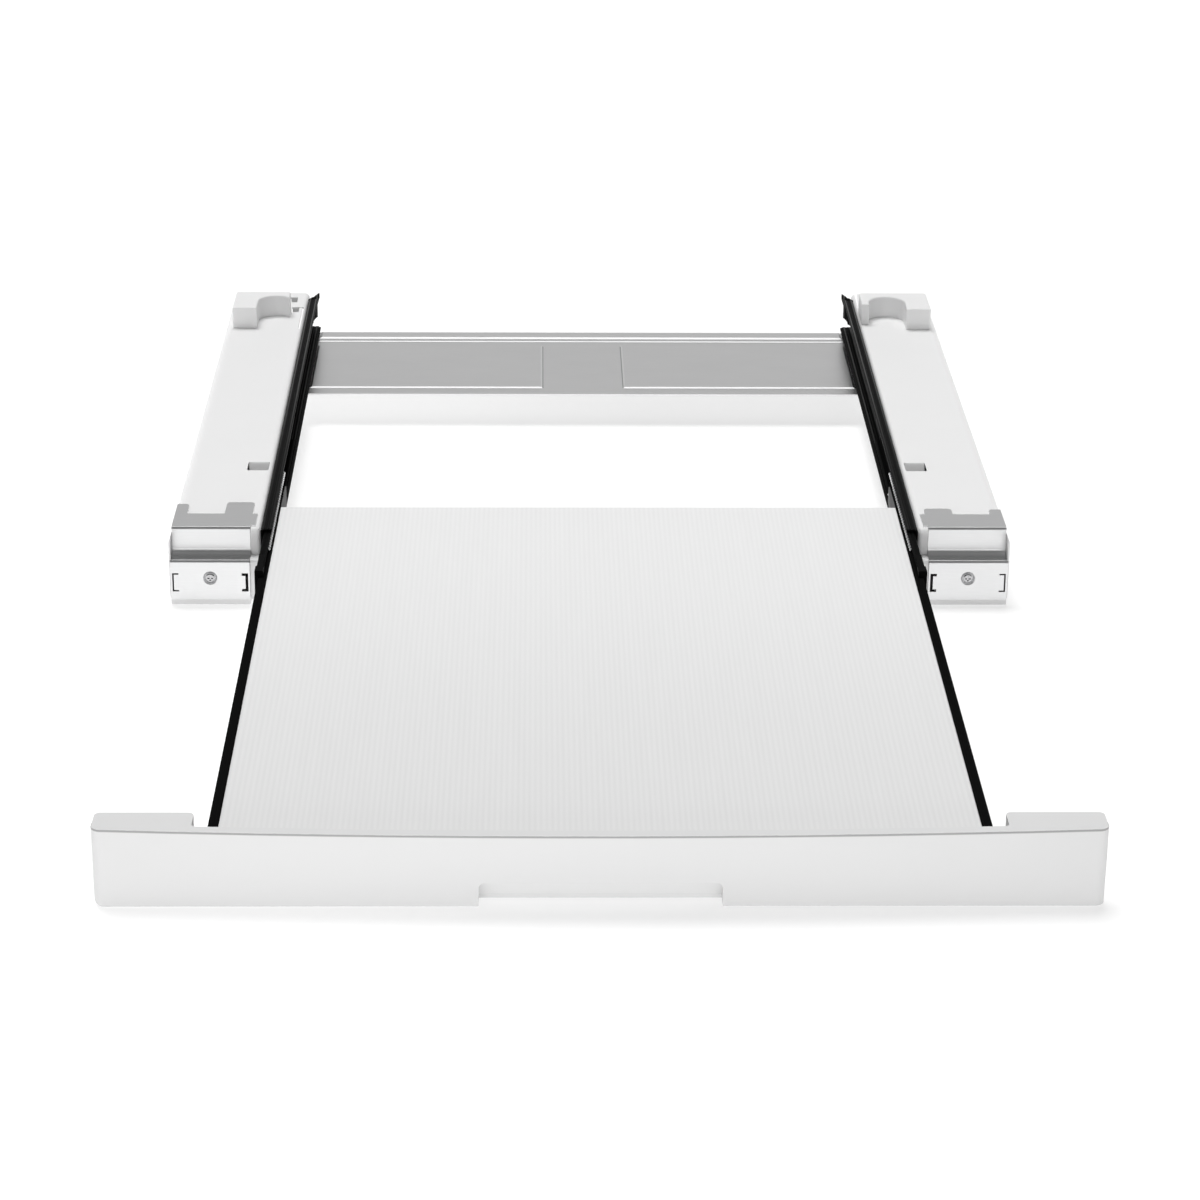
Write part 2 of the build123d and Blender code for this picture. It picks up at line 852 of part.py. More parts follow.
def tongue():
    """Tongue at the rear of the outer channel's web, bent inwards over a round notch."""
    middle_x = wall_x - slide_sheet / 2
    hook_rear = rail_length - tongue_end_gap
    bend_end = hook_rear - tongue_hook_length
    line = Polyline(
        (middle_x, y_at(outer_rear - tongue_root)),
        (middle_x, y_at(bend_end - tongue_bend_length)),
        (middle_x - tongue_offset, y_at(bend_end)),
        (middle_x - tongue_offset - tongue_hook_offset, y_at(hook_rear)),
    )
    plan = Pos(0, 0, rail_height) * trace(line, slide_sheet)
    notch_middle = tongue_foot() - notch_radius
    body = extrude(plan, amount=notch_middle - rail_height)
    notch_x = wall_x - notch_from_wall
    low_x = wall_x - 2 * slide_width
    body -= block(low_x, notch_x, outer_rear, rail_length, 0, tongue_foot())
    body -= rod((notch_x, y_at(outer_rear), notch_middle), (0, 1, 0), notch_radius, outer_tail)
    plane = Plane(origin=(low_x, front_y, 0), x_dir=(0, 1, 0), z_dir=(1, 0, 0))
    hook_low = rail_height - tongue_hook_height
    below_hook = Polyline(
        (bend_end, 0),
        (bend_end, hook_low - tongue_hook_slope),
        (rail_length, hook_low),
        (rail_length, 0),
        close=True,
    )
    return body - extrude(plane * make_face(below_hook), amount=2 * slide_width)


def countersink(back):
    """Countersunk hole in the outer channel's web."""
    start = (wall_x - slide_sheet, y_at(back), slide_z)
    plane = Plane(origin=start, z_dir=(1, 0, 0))
    base = plane * Circle(rivet_head_radius)
    tip = plane.offset(slide_sheet) * Circle(rivet_radius + screw_clearance)
    return loft([base, tip])


def slide_rivets():
    """Flush rivets through the outer channels and the rails' inner walls."""
    rivets = []
    for back in rivet_places:
        start = (wall_x - slide_sheet, y_at(back), slide_z)
        plane = Plane(origin=start, z_dir=(1, 0, 0))
        head = loft(
            [
                plane * Circle(rivet_head_radius - race_clearance),
                plane.offset(slide_sheet) * Circle(rivet_radius),
            ]
        )
        shank = rod(start, (1, 0, 0), rivet_radius, slide_sheet + rail_sheet + rivet_formed_height)
        formed_start = (wall_x + rail_sheet, y_at(back), slide_z)
        formed = rod(formed_start, (1, 0, 0), rivet_formed_radius, rivet_formed_height)
        one = head + shank + formed
        rivets += [one, mirrored(one)]
    return rivets


def middle_span():
    """How far back the middle channels start and end when the shelf is out."""
    return -middle_front, middle_length - middle_front


def slide_middle():
    """Right middle channel, half way between the fixed and the moving one."""
    front, rear = middle_span()
    body = channel(middle_web_out, middle_lip_width, middle_top, front, rear, 1)
    body -= race(outer_ball_line, outer_ball_z, front, rear)
    body -= race(inner_ball_line, inner_ball_z, front, rear)
    return body


def slide_bumper():
    """Right bumper: a block at the middle channel's front end, with a rib on each lip."""
    front = middle_span()[0]
    x_out = wall_x - slide_sheet - bumper_running_gap
    x_in = wall_x - middle_web_out - middle_lip_width
    rise = outer_race - bumper_running_gap
    body = block(
        x_in, x_out, front - bumper_block_length, front, slide_z - rise, slide_z + rise
    )
    body = fillet(body.edges().filter_by(Axis.Y), bumper_radius)
    body = fillet(body.faces().sort_by(Axis.Y)[0].edges(), bumper_radius)
    room = inner_top + bumper_running_gap
    body -= block(
        x_in - 1,
        wall_x - inner_lip_out + bumper_running_gap,
        front - bumper_block_length - 1,
        front + 1,
        slide_z - room,
        slide_z + room,
    )
    for side in (-1, 1):
        inside = slide_z + side * middle_top
        outside = slide_z + side * (middle_top + bumper_rib_thickness)
        body += block(
            x_in + 1,
            x_out - 1,
            front - 2,
            front + bumper_rib_length,
            min(inside, outside),
            max(inside, outside),
        )
    return body


def ball_rows(start, length, pitch):
    """How far back each ball of a cage is."""
    count = int(length // pitch)
    first = start + (length - (count - 1) * pitch) / 2
    return [first + index * pitch for index in range(count)]


def cage(web_out, width, ball_line, ball_offset, start, length, pitch):
    """Right ball cage: a thin channel with a pocket for each ball."""
    reach = ball_offset + cage_sheet / 2
    web_x = wall_x - web_out
    tip_x = web_x - width
    body = block(tip_x, web_x, start, start + length, slide_z - reach, slide_z + reach)
    body -= block(
        tip_x - 1,
        web_x - cage_web,
        start - 1,
        start + length + 1,
        slide_z - reach + cage_sheet,
        slide_z + reach - cage_sheet,
    )
    pockets = [
        Pos(wall_x - ball_line, y_at(back)) * Circle(ball_radius + cage_pocket_clearance)
        for back in ball_rows(start, length, pitch)
    ]
    floor = Plane(origin=(0, 0, slide_z - reach - 1))
    return body - extrude(floor * (Sketch() + pockets), amount=2 * reach + 2)


def balls(ball_line, ball_offset, start, length, pitch):
    """Steel balls of the right cage, above and below."""
    return [
        Pos(wall_x - ball_line, y_at(back), slide_z + side * ball_offset) * Sphere(ball_radius)
        for side in (1, -1)
        for back in ball_rows(start, length, pitch)
    ]


def outer_cage():
    """Right cage between the fixed and the middle channel."""
    web_out = slide_sheet + (web_gap - cage_web) / 2
    return cage(
        web_out,
        outer_cage_width,
        outer_ball_line,
        outer_ball_z,
        outer_cage_start,
        outer_cage_length,
        outer_ball_pitch,
    )


def inner_cage():
    """Right cage between the middle and the moving channel."""
    room = inner_lip_out - middle_web_out - slide_sheet
    web_out = middle_web_out + slide_sheet + (room - cage_web) / 2
    return cage(
        web_out,
        inner_cage_width,
        inner_ball_line,
        inner_ball_z,
        inner_cage_start,
        inner_cage_length,
        inner_ball_pitch,
    )


def slide_inner():
    """Right inner channel, which carries the board's edge."""
    body = channel(inner_lip_out, inner_width, inner_top, shelf_back, inner_rear, -1)
    body -= race(inner_ball_line, inner_ball_z, shelf_back, inner_rear)
    for back in shelf_screw_places:
        body -= rod(
            (wall_x - slide_width - 1, y_at(back), board_middle()),
            (1, 0, 0),
            shelf_screw_radius + screw_clearance,
            3,
        )
    body -= rod(
        (wall_x - slide_width - 1, y_at(end_stop_middle()), slide_z),
        (1, 0, 0),
        end_stop_peg_radius + screw_clearance,
        3,
    )
    return body


def board_middle():
    """Height of the middle of the board's edge."""
    return (board_top + board_bottom) / 2


def end_stop_middle():
    """How far back the rear stop's peg is."""
    return (board_rear + inner_rear) / 2


def end_stop():
    """Right wedge-shaped stop on the inner channel's rear end, behind the board."""
    face_x = wall_x - slide_width
    half = end_stop_height / 2
    front = board_rear + end_stop_gap
    rear = front + end_stop_length
    outline = Polyline(
        (face_x, y_at(front)),
        (face_x - end_stop_thickness, y_at(front)),
        (face_x - end_stop_tip_thickness, y_at(rear)),
        (face_x, y_at(rear)),
        close=True,
    )
    body = extrude(Pos(0, 0, slide_z - half) * make_face(outline), amount=end_stop_height)
    peg_start = (face_x - end_stop_tip_thickness, y_at(end_stop_middle()), slide_z)
    peg_length = slide_sheet + end_stop_tip_thickness
    return body + rod(peg_start, (1, 0, 0), end_stop_peg_radius, peg_length)


def shelf_board():
    """The pull-out board, between the two inner channels."""
    body = block(-board_half, board_half, shelf_back, board_rear, board_bottom, board_top)
    body = fillet(body.faces().sort_by(Axis.Z)[-1].edges(), board_edge_radius)
    for side in (-1, 1):
        for back in shelf_screw_places:
            body -= rod(
                (side * (board_half + 1), y_at(back), board_middle()),
                (-side, 0, 0),
                shelf_screw_radius + screw_clearance,
                shelf_screw_length,
            )
    for x in angle_screw_x():
        for side in (-1, 1):
            body -= rod(
                (side * x, y_at(board_screw_back()), board_bottom - 1),
                (0, 0, 1),
                angle_screw_radius + screw_clearance,
                board_screw_length + 1 - angle_sheet + 0.5,
            )
    return body


def shelf_screws():
    """Screws through the inner channels into the board's edges."""
    screws = []
    for back in shelf_screw_places:
        one = screw(
            (board_half + slide_sheet, y_at(back), board_middle()),
            (-1, 0, 0),
            shelf_screw_radius,
            shelf_screw_length,
            shelf_screw_head_radius,
            shelf_screw_head_height,
        )
        screws += [one, mirrored(one)]
    return screws


def bowed_outline(bow, half, corner_radius, front, rear):
    """Plan of the panel: front edge bowed forwards, straight sides and rear."""
    side_y = y_at(front)
    line = ThreePointArc((-half, side_y), (0, side_y - bow), (half, side_y))
    rest = Polyline((half, side_y), (half, y_at(rear)), (-half, y_at(rear)), (-half, side_y))
    outline = make_face(line + rest)
    front_corners = outline.vertices().group_by(Axis.Y)[0]
    return fillet(front_corners, corner_radius) if corner_radius > 0 else outline


def panel_shape(inset, low, high, rear, corner_radius):
    """Solid between the panel's straight foot and its bowed top."""
    half = half_width - panel_side_inset - inset
    front = panel_back + inset
    foot = bowed_outline(0.02, half, corner_radius, front, rear)
    head = bowed_outline(panel_bow, half, corner_radius, front, rear)
    return loft([Pos(0, 0, low) * foot, Pos(0, 0, high) * head])


def ear_outline(side, start):
    """Plan of one ear, from a distance back to the panel's rear."""
    rear = panel_back + ear_depth
    inner = half_width - panel_side_inset - ear_width
    outer = half_width - rail_sheet - ear_clearance
    outline = Rectangle(outer - inner, rear - start)
    rear_corners = outline.vertices().group_by(Axis.Y)[-1]
    outline = fillet(rear_corners, ear_corner_radius)
    return Pos(side * (inner + outer) / 2, y_at((start + rear) / 2)) * outline


def cap_outline():
    """Plan of the panel's top: a strip that follows the bow, between the two ears."""
    half = half_width - panel_side_inset
    strip_rear = panel_back + panel_top_depth
    step = panel_back + ear_step_depth
    root_x = half - ear_width
    behind_strip = bowed_outline(panel_bow, half, 0, strip_rear, panel_back + 3 * ear_depth)
    behind_strip &= Pos(0, y_at(panel_back)) * Rectangle(2 * root_x, 6 * ear_depth)
    outline = bowed_outline(panel_bow, half, panel_corner_radius, panel_back, step)
    for side in (-1, 1):
        outline += ear_outline(side, panel_back + panel_corner_radius + 0.5)
    outline -= behind_strip
    roots = [
        vertex
        for vertex in outline.vertices()
        if abs(abs(vertex.X) - root_x) < 0.01 and vertex.Y < y_at(step)
    ]
    return fillet(roots, ear_root_radius)


def front_panel():
    """Front panel: skin, side returns, top strip and two ears that close over the ledges."""
    rear = panel_back + ear_depth
    half = half_width - panel_side_inset
    low = panel_ground_gap
    under_top = panel_height - panel_wall
    outer = panel_shape(0, low, panel_height, rear, panel_corner_radius)
    outer &= panel_front_outline()
    hollow = panel_shape(panel_wall, low - 1, under_top, rear + 1, panel_corner_radius / 2)
    depth = panel_bow + ear_step_depth
    body = (outer - hollow) & block(
        -half, half, panel_back - panel_bow, panel_back - panel_bow + depth, low, under_top
    )
    body += outer & extrude(Pos(0, 0, under_top - 0.5) * cap_outline(), amount=panel_height)
    under_ear = ledge_height + ear_ledge_clearance
    for side in (-1, 1):
        ear = ear_outline(side, panel_back - 2 * panel_bow)
        wall = ear - offset(ear, amount=-panel_wall)
        body += outer & extrude(Pos(0, 0, under_ear) * wall, amount=under_top - under_ear)
        body -= cove_relief(side, under_ear)
    body += panel_boss(1) + panel_boss(-1)
    body += grip_backing()
    body -= grip_scoop()
    for side in (-1, 1):
        for x in angle_screw_x():
            body -= rod(
                (side * x, y_at(angle_back()), panel_screw_height),
                (0, -1, 0),
                angle_screw_radius + screw_clearance,
                panel_screw_length - angle_sheet + 0.5,
            )
    return body


def cove_relief(side, under_ear):
    """Step under an ear's rear wall, which clears the rounded bend of the bracket's ledge."""
    rear = panel_back + ear_depth
    centre = side * (half_width - panel_side_inset - ear_width / 2)
    half = ear_width / 2 + 1
    top = ledge_height + bracket_cove_radius
    return block(centre - half, centre + half, rear - panel_wall, rear + 1, under_ear - 1, top)


def panel_front_outline():
    """The panel's outline seen from the front, with rounded lower corners."""
    half = half_width - panel_side_inset
    height = panel_height - panel_ground_gap
    plane = Plane(origin=(0, y_at(panel_back) - 40, 0), x_dir=(1, 0, 0), z_dir=(0, -1, 0))
    outline = Pos(0, (panel_height + panel_ground_gap) / 2) * Rectangle(2 * half, height)
    outline = fillet(outline.vertices().group_by(Axis.Y)[0], panel_lower_radius)
    outline = fillet(outline.vertices().group_by(Axis.Y)[-1], panel_top_radius)
    return extrude(plane * outline, amount=-120)


def angle_back():
    """How far back the angles' upright legs start."""
    return shelf_back


def angle_screw_x():
    """X of the two screws in each leg of the right angle."""
    half = angle_screw_spacing / 2
    return panel_boss_place - half, panel_boss_place + half


def board_screw_back():
    """How far back the screws into the board are."""
    return angle_back() + board_screw_setback


def panel_boss(side):
    """Thick pad behind the panel's skin that the upright leg of an angle sits on."""
    x = side * panel_boss_place
    half = panel_boss_width / 2
    base = panel_boss_foot
    reach = panel_back - panel_bow
    body = block(x - half, x + half, reach, angle_back(), base, base + panel_boss_height)
    return body & panel_shape(
        panel_wall / 2, panel_ground_gap, panel_height, panel_back + ear_depth, panel_corner_radius
    )


def grip_backing():
    """Wall behind the finger scoop, joined to the panel's skin above it."""
    half = grip_width / 2 + panel_wall
    plane = Plane(origin=(-half, front_y, 0), x_dir=(0, 1, 0), z_dir=(1, 0, 0))
    inside = panel_back + panel_wall / 2
    crest = grip_height + grip_backing_rise
    rear = panel_back + grip_depth + panel_wall
    outline = Polyline(
        (inside, crest),
        (panel_back + panel_wall, crest),
        (rear, grip_foot + panel_wall),
        (rear, panel_ground_gap),
        (inside, panel_ground_gap),
        close=True,
    )
    return extrude(plane * make_face(outline), amount=2 * half)


def grip_scoop():
    """Finger scoop at the foot of the panel: its back leans inwards towards the foot."""
    half = grip_width / 2
    plane = Plane(origin=(-half, front_y, 0), x_dir=(0, 1, 0), z_dir=(1, 0, 0))
    front = panel_back - 2 * panel_bow
    crest = (panel_back - panel_wall / 4, grip_height)
    middle = (panel_back + grip_depth * 0.55, grip_height * 0.52)
    foot = (panel_back + grip_depth, grip_foot)
    below = -panel_ground_gap
    edges = Polyline(foot, (foot[0], below), (front, below), (front, grip_height), crest)
    outline = make_face(ThreePointArc(crest, middle, foot) + edges)
    body = extrude(plane * outline, amount=2 * half)
    window_plane = Plane(origin=(0, y_at(front), 0), x_dir=(1, 0, 0), z_dir=(0, -1, 0))
    window = Rectangle(2 * half, 2 * grip_height)
    window = fillet(window.vertices().group_by(Axis.Y)[-1], grip_side_radius)
    return body & extrude(window_plane * window, amount=-2 * ear_depth - 2 * panel_bow)


def panel_angle():
    """Right angle: one leg on the panel's boss, the other under the board."""
    back = angle_back()
    x0 = panel_boss_place - angle_width / 2
    points = (
        (back, board_bottom - angle_leg * 0.8),
        (back, board_bottom),
        (back + angle_leg, board_bottom),
    )
    body = sheet_along_x(
        points, angle_bend_radius, angle_sheet, Side.RIGHT, x0, x0 + angle_width
    )
    for x in angle_screw_x():
        body -= rod(
            (x, y_at(back) - 1, panel_screw_height),
            (0, 1, 0),
            angle_screw_radius + screw_clearance,
            angle_sheet + 2,
        )
        body -= rod(
            (x, y_at(board_screw_back()), board_bottom + 1),
            (0, 0, -1),
            angle_screw_radius + screw_clearance,
            angle_sheet + 2,
        )
    return body


def angle_screws(places, direction, length):
    """Screws of the angles, on both sides."""
    screws = []
    for place in places:
        one = screw(
            place,
            direction,
            angle_screw_radius,
            length,
            angle_screw_head_radius,
            angle_screw_head_height,
        )
        screws += [one, mirrored(one)]
    return screws


def panel_screws():
    """Screws from behind through the angles into the panel's bosses."""
    back = angle_back() + angle_sheet
    places = [(x, y_at(back), panel_screw_height) for x in angle_screw_x()]
    return angle_screws(places, (0, -1, 0), panel_screw_length)


def board_screws():
    """Screws from below through the angles into the board."""
    places = [
        (x, y_at(board_screw_back()), board_bottom - angle_sheet) for x in angle_screw_x()
    ]
    return angle_screws(places, (0, 0, 1), board_screw_length)


def write(name, pieces):
    """Write one node: a solid, or a group of separate solids."""
    if isinstance(pieces, list):
        solids = [solid for piece in pieces for solid in piece.solids()]
    else:
        solids = list(pieces.solids())
    shape = solids[0] if len(solids) == 1 else Compound(children=solids)
    shape.label = name
    export_step(shape, f"parts/{name}.step")


def write_pair(name, right, left=None):
    """Write a right piece and its left one, which is the mirrored right one by default."""
    write("right_" + name, right)
    if left is None:
        left = [mirrored(one) for one in right] if isinstance(right, list) else mirrored(right)
    write("left_" + name, left)


def main():
    os.makedirs("parts", exist_ok=True)
    plain_rail = rail()
    write_pair("rail", plain_rail - relief_cut(), mirrored(with_catch(plain_rail)))
    write_pair("base_strip", base_strip())
    right_bracket = front_bracket(right_outer_tab_length, right_inner_tab_length)
    left_bracket = mirrored(front_bracket(left_outer_tab_length, left_inner_tab_length))
    write_pair("front_bracket", right_bracket, left_bracket)
    write("bracket_screws", bracket_screws())
    write_pair(
        "rear_block", rear_block(block_inner_margin), mirrored(rear_block(left_block_inner_margin))
    )
    write("block_screws", block_screws())
    write("crossbar", crossbar())
    write("crossbar_screws", crossbar_screws())
    write_pair("slide_outer", slide_outer())
    write("slide_rivets", slide_rivets())
    write_pair("slide_middle", slide_middle())
    write_pair("slide_bumper", slide_bumper())
    write_pair("outer_cage", outer_cage())
    write_pair(
        "outer_balls",
        balls(outer_ball_line, outer_ball_z, outer_cage_start, outer_cage_length, outer_ball_pitch),
    )
    write_pair("inner_cage", inner_cage())
    write_pair(
        "inner_balls",
        balls(inner_ball_line, inner_ball_z, inner_cage_start, inner_cage_length, inner_ball_pitch),
    )
    write_pair("slide_inner", slide_inner())
    write_pair("slide_end_stop", end_stop())
    write("shelf_board", shelf_board())
    write("shelf_screws", shelf_screws())
    write("front_panel", front_panel())
    write_pair("panel_angle", panel_angle())
    write("panel_screws", panel_screws())
    write("board_screws", board_screws())


main()
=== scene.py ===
import math

import bpy
from mathutils import Matrix, Vector


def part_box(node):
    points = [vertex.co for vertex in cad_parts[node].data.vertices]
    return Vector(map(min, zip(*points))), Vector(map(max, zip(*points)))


bl_info = {
    "name": "Stacking kit with pull-out shelf",
    "version": (1, 0, 0),
    "blender": (4, 5, 0),
    "location": "View3D > Sidebar > Stacking kit",
    "description": "Finishes for the stacking kit's pieces, and a studio to look at it in",
    "category": "Object",
}

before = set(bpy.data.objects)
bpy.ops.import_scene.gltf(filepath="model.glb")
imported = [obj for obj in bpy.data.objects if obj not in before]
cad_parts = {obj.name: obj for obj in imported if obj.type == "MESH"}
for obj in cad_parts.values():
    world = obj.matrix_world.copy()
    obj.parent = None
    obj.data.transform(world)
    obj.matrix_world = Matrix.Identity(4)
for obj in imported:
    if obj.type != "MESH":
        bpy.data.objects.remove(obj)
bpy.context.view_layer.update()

PHOTO_WIDTH = 1200
WHITE = (1.0, 1.0, 1.0)
MICRON = 0.000001

# Camera: where the photograph was taken from, how it was turned, its focal length in pixels of
# the photograph, its sensor's width in millimetres, and how far it sees
CAMERA_PLACE = (-0.0373, -2.315, 0.9345)
CAMERA_PITCH = math.radians(22.33)
CAMERA_YAW = math.radians(1.13)
CAMERA_ROLL = math.radians(-0.465)
CAMERA_FOCAL = 3416.0
CAMERA_SENSOR = 36.0
CAMERA_FAR = 50.0

# Lamps: where the overhead lamp shines from and its width as an angle, and the front lamp's
# place, aim, size and spread
OVERHEAD_FROM = (-0.12, 0.31, 1.0)
OVERHEAD_ANGLE = math.radians(28)
FRONT_LAMP_PLACE = (-0.45, -1.3, 0.12)
FRONT_LAMP_AIM = (-0.4, -0.56, 0.04)
FRONT_LAMP_SIZE = (2.4, 0.1)
FRONT_LAMP_SPREAD = math.radians(110)

# Floor: half its width, where its glow weakens from left to right, and how strong the glow is
# at the right beside the left
FLOOR_REACH = 14.0
FLOOR_TURN = (-0.3, 0.1)
FLOOR_RIGHT = 0.88

# Room, as parts of a direction of length 1: how high the white backdrop gives way to the walls,
# where the front wall turns into the rear wall, and how high the walls give way to the roof
BACKDROP_EDGE = (0.14, 0.2)
WALL_TURN = (-0.3, 0.3)
ROOF_EDGE = (0.4, 0.8)

# Softbox in the room: its lean from straight above towards the rear, and its soft edge
SOFTBOX_TILT = math.radians(25)
SOFTBOX_EDGE = (0.966, 0.985)

# Finishes: how far a shade of 0 or 1 lies from its colour
SHADE_SPAN = 0.2

# Small pieces: steel, black plastic, and the levels of the end stops and of the strips
SCREW_STEEL = (0.55, 0.55, 0.56)
BALL_STEEL = (0.93, 0.93, 0.94)
BUMPER_BLACK = (0.003, 0.003, 0.003)
CAGE_BLACK = (0.004, 0.004, 0.004)
STOP_LEVEL = 105
STRIP_LEVEL = 238

# Board: the pressed lines' pitch and how much they shade, and the stretch from front to rear
# over which painted light makes it grow lighter, and by how much
BOARD_LINE_PITCH = 0.00343
BOARD_LINE_SHADE = 0.048
BOARD_PAINTED_LIGHT_RAMP = (-0.52, 0.0)
BOARD_PAINTED_LIGHT_SHARE = 0.36

# The panel's rounded top edge, darkened as painted shade: the heights over which it darkens,
# those over which it clears again, and how much darker it is
PANEL_EDGE = (0.0498, 0.0504)
PANEL_TOP = (0.0514, 0.05155)
PANEL_EDGE_PAINTED_SHADE = -1.3

# How bright the zinc of the brackets and the panel's angles is beside the crossbar's
BRACKET_TONE = 0.95

# Painted shade in the creases at the inner ends of the crossbar's pads: distance from the middle,
# half width, margins to the crossbar's front and rear edges, and how much darker the shade is
CREASE_PLACE = 0.0331
CREASE_HALF = 0.0006
CREASE_FRONT = 0.0145
CREASE_REAR = 0.038
CREASE_PAINTED_SHADE = -1.4

# Painted highlights on ridges along the slides: the rails' inner walls, the first crest, the
# ridges' pitch, the stretch from front to rear over which the highlight grows, its least share,
# and the highlight's colour
SLIDE_WALL = 0.235
SLIDE_CREST = 0.0016
SLIDE_RIDGE_PITCH = 0.0051
SLIDE_HIGHLIGHT_RAMP = (0.05, 0.4)
LEAST_HIGHLIGHT = 0.15
PAINTED_HIGHLIGHT_COAT = (0.2, 0.2, 0.2)

# How much each channel shines: its gloss and its painted highlights
OUTER_SHINE = 0.4
MIDDLE_SHINE = 0.12
INNER_SHINE = 0.0

# Gloss of the slides' coat at full shine and of their moulded pieces. Both mirror little even
# where they are seen at a low angle
COAT_GLOSS = 0.2
MOULDED_GLOSS = 0.15
SLIDE_IOR = 1.1


class Value:
    """A number or a vector that varies over a surface. Arithmetic on it adds Math nodes."""

    def __init__(self, graph, socket):
        self.graph = graph
        self.socket = socket

    def math(self, operation, *inputs):
        """A Math node whose first input is this value."""
        return self.graph.add("ShaderNodeMath", {"operation": operation}, (self, *inputs))

    def __add__(self, other):
        return self.math("ADD", other)

    def __sub__(self, other):
        return self.math("SUBTRACT", other)

    def __rsub__(self, other):
        return self * -1.0 + other

    def __mul__(self, other):
        return self.math("MULTIPLY", other)

    __radd__ = __add__
    __rmul__ = __mul__

    def sine(self):
        """Sine of this value in radians."""
        return self.math("SINE")

    def size(self):
        """This value without its sign."""
        return self.math("ABSOLUTE")

    def step(self, low, high):
        """Smooth rise from 0 at low to 1 at high."""
        return self.graph.add(
            "ShaderNodeMapRange",
            {"interpolation_type": "SMOOTHSTEP", "clamp": True},
            {"Value": self, "From Min": low, "From Max": high, "To Min": 0.0, "To Max": 1.0},
        )


class Graph:
    """A node tree, with helpers that add a node, then its settings, then its inputs."""

    def __init__(self, tree):
        self.tree = tree
        self.tree.nodes.clear()

    def connect(self, node, key, value):
        """Sets one input of a node, given by its name or its place, to a number or a link."""
        if isinstance(key, str):
            found = [socket for socket in node.inputs if socket.name.lower() == key.lower()]
            socket = next((one for one in found if one.enabled), found[0])
        else:
            socket = node.inputs[key]
        if isinstance(value, Value):
            self.tree.links.new(value.socket, socket)
        elif isinstance(value, tuple) and len(value) == 3 and socket.type == "RGBA":
            socket.default_value = (*value, 1.0)
        else:
            socket.default_value = value

    def add(self, kind, settings=None, inputs=(), output=0):
        """Adds a node: its settings first, then its inputs by name or in order."""
        node = self.tree.nodes.new(kind)
        for key, value in (settings or {}).items():
            setattr(node, key, value)
        pairs = inputs.items() if isinstance(inputs, dict) else enumerate(inputs)
        for key, value in pairs:
            self.connect(node, key, value)
        return Value(self, node.outputs[output])

    def split(self, vector):
        """The three parts of a vector."""
        node = self.add("ShaderNodeSeparateXYZ", inputs=[vector]).socket.node
        return [Value(self, socket) for socket in node.outputs]

    def blend(self, share, first, second):
        """Mix of two colours, which are inputs 6 and 7 and output 2 of the Mix node."""
        node = self.tree.nodes.new("ShaderNodeMix")
        node.data_type = "RGBA"
        node.clamp_factor = False
        self.connect(node, 0, share)
        self.connect(node, 6, first)
        self.connect(node, 7, second)
        return Value(self, node.outputs[2])


class Finish(Graph):
    """A material built round one Principled shader, with helpers for what feeds it."""

    def __init__(self, name, colour, roughness, metallic=0.0, **sockets):
        self.material = bpy.data.materials.new(name)
        self.material.use_nodes = True
        super().__init__(self.material.node_tree)
        self.output = self.tree.nodes.new("ShaderNodeOutputMaterial")
        self.shader = self.tree.nodes.new("ShaderNodeBsdfPrincipled")
        self.tree.links.new(self.shader.outputs[0], self.output.inputs[0])
        self.feed(base_color=colour, roughness=roughness, metallic=metallic, **sockets)

    def feed(self, **sockets):
        """Sets the shader's sockets by their names in small letters."""
        for key, value in sockets.items():
            self.connect(self.shader, key.replace("_", " "), value)

    def place(self):
        return self.add("ShaderNodeTexCoord", output="Object")

    def stretched(self, scale):
        """The point on the piece, with each axis multiplied by its own scale."""
        return self.add(
            "ShaderNodeVectorMath", {"operation": "MULTIPLY"}, [self.place(), tuple(scale)]
        )

    def noise(self, scale, detail=2.0, roughness=0.5, stretch=(1.0, 1.0, 1.0)):
        """Soft noise from 0 to 1 with this many cells to the metre."""
        return self.add(
            "ShaderNodeTexNoise",
            {"noise_dimensions": "3D"},
            {
                "Vector": self.stretched(stretch),
                "Scale": scale,
                "Detail": detail,
                "Roughness": roughness,
            },
        )

    def grain(self, scale):
        """Distance from the middle of each cell of a pebbled pattern, from 0 to about 1."""
        return self.add(
            "ShaderNodeTexVoronoi",
            {"voronoi_dimensions": "3D", "feature": "F1"},
            {"Vector": self.place(), "Scale": scale},
        )

    def shade(self, colour, *shares):
        """Feeds the base colour: the colour made lighter or darker by small varying shares.

        A total of 0.5 is the colour itself, halfway from dark to light.
        """
        total = 0.5
        for share in shares:
            total = share + total
        dark = tuple(part * (1 - SHADE_SPAN) for part in colour)
        light = tuple(min(part * (1 + SHADE_SPAN), 1.0) for part in colour)
        self.feed(base_color=self.blend(total, dark, light))

    def bump(self, height, distance):
        """Feeds the shader's normal from a height in units of distance, in metres."""
        bump = self.add("ShaderNodeBump", inputs={"Height": height, "Distance": distance})
        self.feed(normal=bump)


def varied(noise, span):
    """A noise from 0 to 1 as a share either side of 0, at most half the span."""
    return (noise - 0.5) * span


def grey(level):
    """Linear grey for a level from 0 to 255 as a screen shows it."""
    share = level / 255
    linear = share / 12.92 if share <= 0.04045 else ((share + 0.055) / 1.055) ** 2.4
    return (linear, linear, linear)


def dress(finish, *nodes):
    """Gives a finish to CAD nodes."""
    for name in nodes:
        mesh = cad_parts[name].data
        mesh.materials.clear()
        mesh.materials.append(finish.material)


def both(name):
    """Names of a left and a right node."""
    return "left_" + name, "right_" + name


def colour_property(label, description, default):
    """A colour that a user can change, with a name and a description."""
    return bpy.props.FloatVectorProperty(
        name=label,
        description=description,
        default=default,
        subtype="COLOR",
        min=0.0,
        max=1.0,
    )


def light_property(label, description, default, **settings):
    """A light's strength that a user can change, with a name and a description."""
    return bpy.props.FloatProperty(
        name=label, description=description, default=default, min=0.0, **settings
    )


